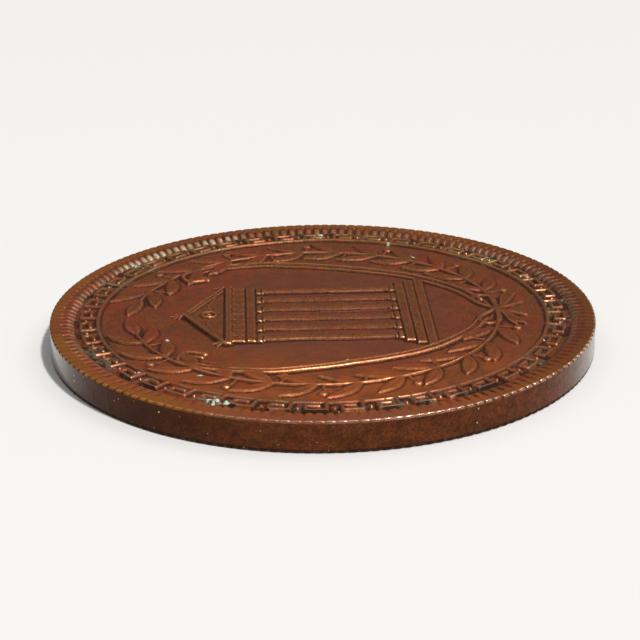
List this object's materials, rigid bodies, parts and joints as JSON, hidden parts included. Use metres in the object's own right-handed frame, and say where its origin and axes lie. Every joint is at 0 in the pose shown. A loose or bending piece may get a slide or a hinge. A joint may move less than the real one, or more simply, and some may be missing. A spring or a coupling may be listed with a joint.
{
  "type": "academic medallion",
  "caption": "Round struck bronze table medal with a dentilled rim, a band of square keys, a laurel wreath tied with a bow and a columned temple front in relief.",
  "frame": {"origin": "middle of the reverse rim's resting plane, under the middle of the disc", "axes": "+Z out of the obverse along the disc's axis, +Y towards the top of the design, +X towards its right"},
  "size_m": [0.057, 0.057, 0.0033],
  "materials": {
    "patinated_bronze": "struck bronze with a chocolate brown patina, worn to copper on the crests, with dark recesses"
  },
  "bodies": {
    "root": {"medal": "patinated_bronze"}
  },
  "joints": []
}
